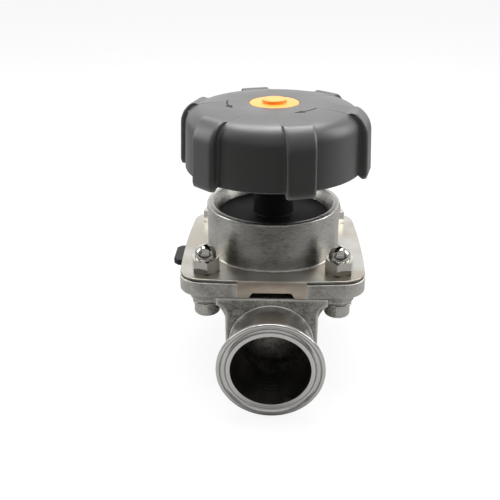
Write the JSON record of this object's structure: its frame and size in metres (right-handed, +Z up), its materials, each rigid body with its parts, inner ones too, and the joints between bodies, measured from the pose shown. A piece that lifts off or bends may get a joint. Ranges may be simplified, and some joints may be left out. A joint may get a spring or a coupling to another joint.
{
  "type": "diaphragm valve",
  "caption": "Manual weir-type diaphragm valve with clamp ferrules, stainless body and bonnet, acorn-nut bolting and a lobed black handwheel with an orange cap.",
  "frame": {"origin": "centre of the inlet ferrule's face, on the bore's axis", "axes": "+Y along the flow to the outlet, +Z up along the stem to the handwheel, +X to the right seen from the inlet"},
  "size_m": [0.1258, 0.173, 0.1711],
  "materials": {
    "cast_steel": "investment-cast stainless steel, satin with turned and polished tubes",
    "polished_steel": "polished stainless steel",
    "bolt_steel": "bright stainless steel",
    "spindle_steel": "turned stainless steel",
    "nut_bronze": "turned bronze",
    "black_rubber": "moulded black rubber",
    "black_moulding": "moulded black plastic",
    "wheel_moulding": "moulded dark plastic with a fine satin grain",
    "orange_moulding": "moulded orange plastic",
    "white_washer": "machined white plastic"
  },
  "bodies": {
    "root": {"valve_body": "cast_steel", "diaphragm": "black_rubber", "bonnet": "cast_steel", "flange_screws": "bolt_steel", "screw_washers": "bolt_steel", "cap_nuts": "polished_steel", "spindle_nut": "nut_bronze", "nut_seal_ring": "black_rubber", "nut_circlip": "bolt_steel", "dust_sleeve": "black_moulding", "spindle_wiper": "black_rubber"},
    "compressor_body": {"compressor": "cast_steel", "diaphragm_stud": "bolt_steel", "retaining_pins": "bolt_steel", "thrust_washer": "white_washer"},
    "wheel_body": {"spindle": "spindle_steel", "handwheel": "wheel_moulding", "hub_insert": "spindle_steel", "wheel_washer": "bolt_steel", "wheel_nut": "bolt_steel", "indicator_cap": "orange_moulding"}
  },
  "joints": [
    {"name": "stem_lift", "type": "slide", "parent": "root", "child": "compressor_body", "axis": [0, 0, 1], "range_m": [-0.02201, 0], "deforming": ["diaphragm"]},
    {"name": "wheel_spin", "type": "hinge", "parent": "compressor_body", "child": "wheel_body", "pos_m": [0, 0.0865, 0.117], "axis": [0, 0, 1], "range_deg": [-1980, 0]}
  ],
  "couplings": [
    {"joint": "stem_lift", "follows": "wheel_spin", "m_per_rad": 0.00063662}
  ]
}
